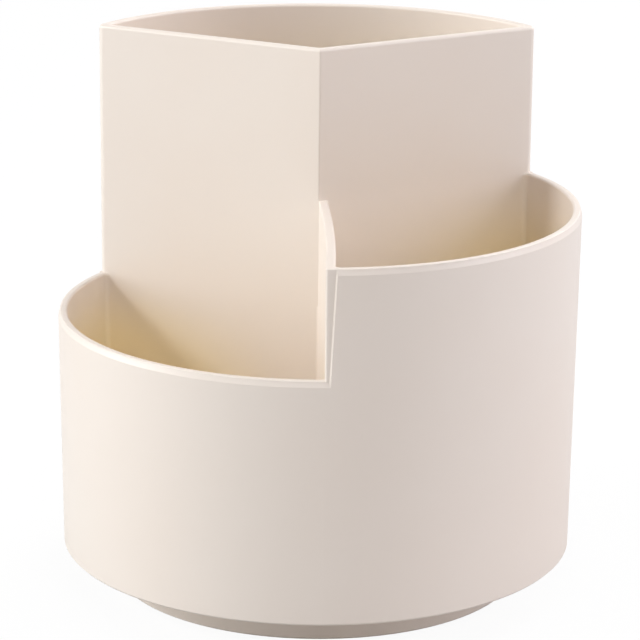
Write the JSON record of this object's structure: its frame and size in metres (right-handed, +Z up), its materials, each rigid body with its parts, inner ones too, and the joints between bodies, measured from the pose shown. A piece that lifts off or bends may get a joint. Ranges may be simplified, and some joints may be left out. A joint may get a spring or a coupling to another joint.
{
  "type": "rotating desk organizer",
  "caption": "Rotating desk organizer: a round moulded body with low, middle and tall cups on a ball-bearing turntable with rubber feet.",
  "frame": {"origin": "on the turntable's axis, at the level of the table that the feet stand on", "axes": "+Z up along the turntable's axis, +Y towards the tall cup at the back, +X towards the middle cup"},
  "size_m": [0.1052, 0.106, 0.1098],
  "materials": {
    "cream_plastic": "satin",
    "base_plastic": "satin",
    "white_plastic": "satin",
    "zinc_steel": "zinc plated",
    "ball_steel": "polished",
    "insert_brass": "turned",
    "foot_rubber": "matte"
  },
  "bodies": {
    "base": {"turntable_base": "base_plastic", "lower_race": "zinc_steel", "pivot_bush": "white_plastic", "screw_cover": "base_plastic", "foot_1": "foot_rubber", "foot_2": "foot_rubber", "foot_3": "foot_rubber", "foot_4": "foot_rubber"},
    "cage": {"ball_cage": "white_plastic", "ball_01": "ball_steel", "ball_02": "ball_steel", "ball_03": "ball_steel", "ball_04": "ball_steel", "ball_05": "ball_steel", "ball_06": "ball_steel", "ball_07": "ball_steel", "ball_08": "ball_steel", "ball_09": "ball_steel", "ball_10": "ball_steel", "ball_11": "ball_steel", "ball_12": "ball_steel"},
    "cups": {"cup_body": "cream_plastic", "rotor_plate": "base_plastic", "plate_screws": "zinc_steel", "upper_race": "zinc_steel", "pivot_screw": "zinc_steel", "steel_washer": "zinc_steel", "friction_washer": "white_plastic", "threaded_insert": "insert_brass"}
  },
  "joints": [
    {"name": "body_spin", "type": "hinge", "parent": "base", "child": "cups", "pos_m": [0, 0, 0], "axis": [0, 0, 1], "continuous": true},
    {"name": "cage_spin", "type": "hinge", "parent": "base", "child": "cage", "pos_m": [0, 0, 0], "axis": [0, 0, 1], "continuous": true}
  ],
  "couplings": [
    {"joint": "cage_spin", "follows": "body_spin", "ratio": 0.5}
  ]
}
